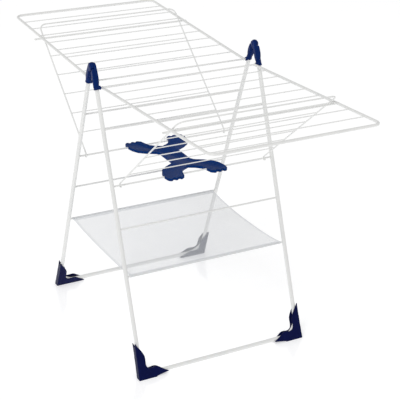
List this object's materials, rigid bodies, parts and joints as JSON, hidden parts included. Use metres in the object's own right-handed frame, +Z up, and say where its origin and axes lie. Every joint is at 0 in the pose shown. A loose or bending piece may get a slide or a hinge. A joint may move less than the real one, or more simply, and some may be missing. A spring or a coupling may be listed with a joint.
{
  "type": "clothes drying rack",
  "caption": "Folding clothes drying rack with winged wire shelves, slanted wire supports, A-shaped tube legs, moulded hubs and feet, a cross brace and a mesh shelf.",
  "frame": {"origin": "on the floor, midway between the four feet, under the hub pins", "axes": "+X along the hanging wires, +Y towards the rear wing, +Z up; the two wings spread along Y"},
  "size_m": [0.6278, 1.5434, 0.977],
  "materials": {
    "white_enamel": "satin powder coat",
    "hub_plastic": "satin moulded, dark blue",
    "foot_plastic": "satin moulded, near-black navy",
    "brace_plastic": "satin moulded, blue",
    "hub_pin_steel": "brushed",
    "net_mesh": "open knitted mesh, half see-through"
  },
  "bodies": {
    "rear_frame": {"rear_leg_tube": "white_enamel", "rear_crossbar_1": "white_enamel", "rear_crossbar_2": "white_enamel", "rear_crossbar_3": "white_enamel", "rear_crossbar_4": "white_enamel", "hub_left_rear": "hub_plastic", "hub_right_rear": "hub_plastic", "foot_rear_left": "foot_plastic", "foot_rear_right": "foot_plastic", "hub_left_pin": "hub_pin_steel", "hub_right_pin": "hub_pin_steel", "net": "net_mesh"},
    "front_frame": {"front_leg_tube": "white_enamel", "front_crossbar_1": "white_enamel", "front_crossbar_2": "white_enamel", "front_crossbar_3": "white_enamel", "front_crossbar_4": "white_enamel", "hub_left_front": "hub_plastic", "hub_right_front": "hub_plastic", "foot_front_left": "foot_plastic", "foot_front_right": "foot_plastic"},
    "rear_wing": {"rear_wing_tube": "white_enamel", "rear_wing_pivot_rod": "white_enamel", "rear_wing_wire_1": "white_enamel", "rear_wing_wire_2": "white_enamel", "rear_wing_wire_3": "white_enamel", "rear_wing_wire_4": "white_enamel", "rear_wing_wire_5": "white_enamel", "rear_wing_wire_6": "white_enamel", "rear_wing_wire_7": "white_enamel", "rear_wing_wire_8": "white_enamel"},
    "rear_support": {"rear_support_wire": "white_enamel", "rear_support_main_bar": "white_enamel", "rear_support_rung_1": "white_enamel", "rear_support_rung_2": "white_enamel", "rear_support_rung_3": "white_enamel", "rear_support_rung_4": "white_enamel", "rear_support_rung_5": "white_enamel"},
    "front_wing": {"front_wing_tube": "white_enamel", "front_wing_pivot_rod": "white_enamel", "front_wing_wire_1": "white_enamel", "front_wing_wire_2": "white_enamel", "front_wing_wire_3": "white_enamel", "front_wing_wire_4": "white_enamel", "front_wing_wire_5": "white_enamel", "front_wing_wire_6": "white_enamel", "front_wing_wire_7": "white_enamel", "front_wing_wire_8": "white_enamel"},
    "front_support": {"front_support_wire": "white_enamel", "front_support_main_bar": "white_enamel", "front_support_rung_1": "white_enamel", "front_support_rung_2": "white_enamel", "front_support_rung_3": "white_enamel", "front_support_rung_4": "white_enamel", "front_support_rung_5": "white_enamel"},
    "brace": {"cross_brace": "brace_plastic"}
  },
  "joints": [
    {"name": "leg_fold", "type": "hinge", "parent": "rear_frame", "child": "front_frame", "pos_m": [0, 0, 0.963], "axis": [1, 0, 0], "range_deg": [0, 37], "deforming": ["net"]},
    {"name": "rear_wing_lift", "type": "hinge", "parent": "rear_frame", "child": "rear_wing", "pos_m": [0, 0.035, 0.9], "axis": [1, 0, 0], "range_deg": [0, 55]},
    {"name": "rear_support_swing", "type": "hinge", "parent": "rear_frame", "child": "rear_support", "pos_m": [0, 0.14413, 0.59908], "axis": [1, 0, 0], "range_deg": [0, 44]},
    {"name": "front_wing_lift", "type": "hinge", "parent": "front_frame", "child": "front_wing", "pos_m": [0, -0.035, 0.9], "axis": [-1, 0, 0], "range_deg": [0, 55]},
    {"name": "front_support_swing", "type": "hinge", "parent": "front_frame", "child": "front_support", "pos_m": [0, -0.14413, 0.59908], "axis": [-1, 0, 0], "range_deg": [0, 44]},
    {"name": "brace_swing", "type": "hinge", "parent": "rear_frame", "child": "brace", "pos_m": [0, 0.14413, 0.59908], "axis": [-1, 0, 0], "range_deg": [0, 57.5]}
  ],
  "couplings": [
    {"joint": "rear_support_swing", "follows": "rear_wing_lift", "ratio": 0.8},
    {"joint": "front_support_swing", "follows": "front_wing_lift", "ratio": 0.8},
    {"joint": "brace_swing", "follows": "leg_fold", "ratio": 1.55}
  ]
}
